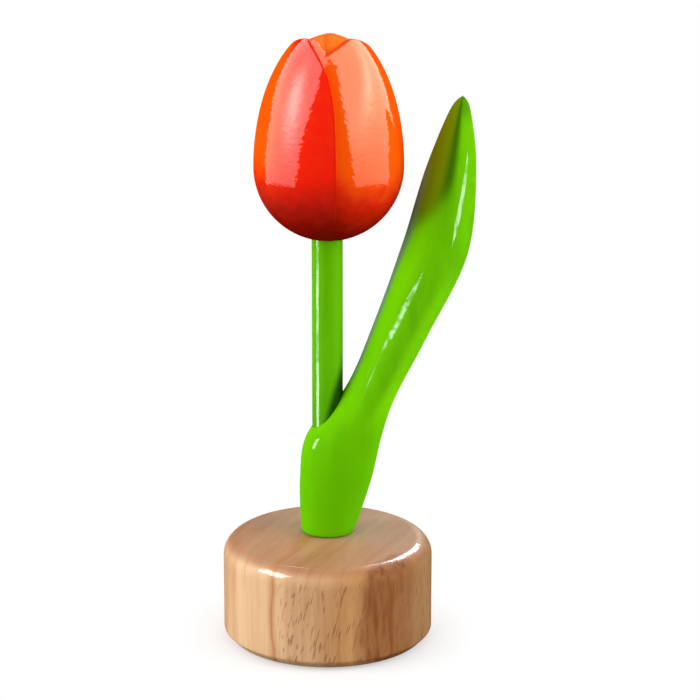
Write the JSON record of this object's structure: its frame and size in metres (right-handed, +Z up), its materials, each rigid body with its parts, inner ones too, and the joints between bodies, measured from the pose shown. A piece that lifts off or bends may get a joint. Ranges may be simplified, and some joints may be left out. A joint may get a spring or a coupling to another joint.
{
  "type": "wooden tulip ornament",
  "caption": "Standing wooden tulip: an egg-shaped flower carved into overlapping petals on a dowel stem, with a thick curved leaf sleeved over the stem, on a round varnished base.",
  "frame": {"origin": "middle of the base's underside", "axes": "+Z up, the front faces -Y, and the leaf leans towards +X"},
  "size_m": [0.0491, 0.041, 0.1202],
  "materials": {
    "varnished_beech": "clear gloss varnish over beech",
    "green_lacquer": "glossy light green lacquer on wood",
    "leaf_lacquer": "glossy light green lacquer on wood",
    "petal_lacquer": "glossy orange and red lacquer on wood"
  },
  "bodies": {
    "root": {"pedestal_base": "varnished_beech", "stem_dowel": "green_lacquer", "leaf": "leaf_lacquer", "flower_head": "petal_lacquer"}
  },
  "joints": []
}
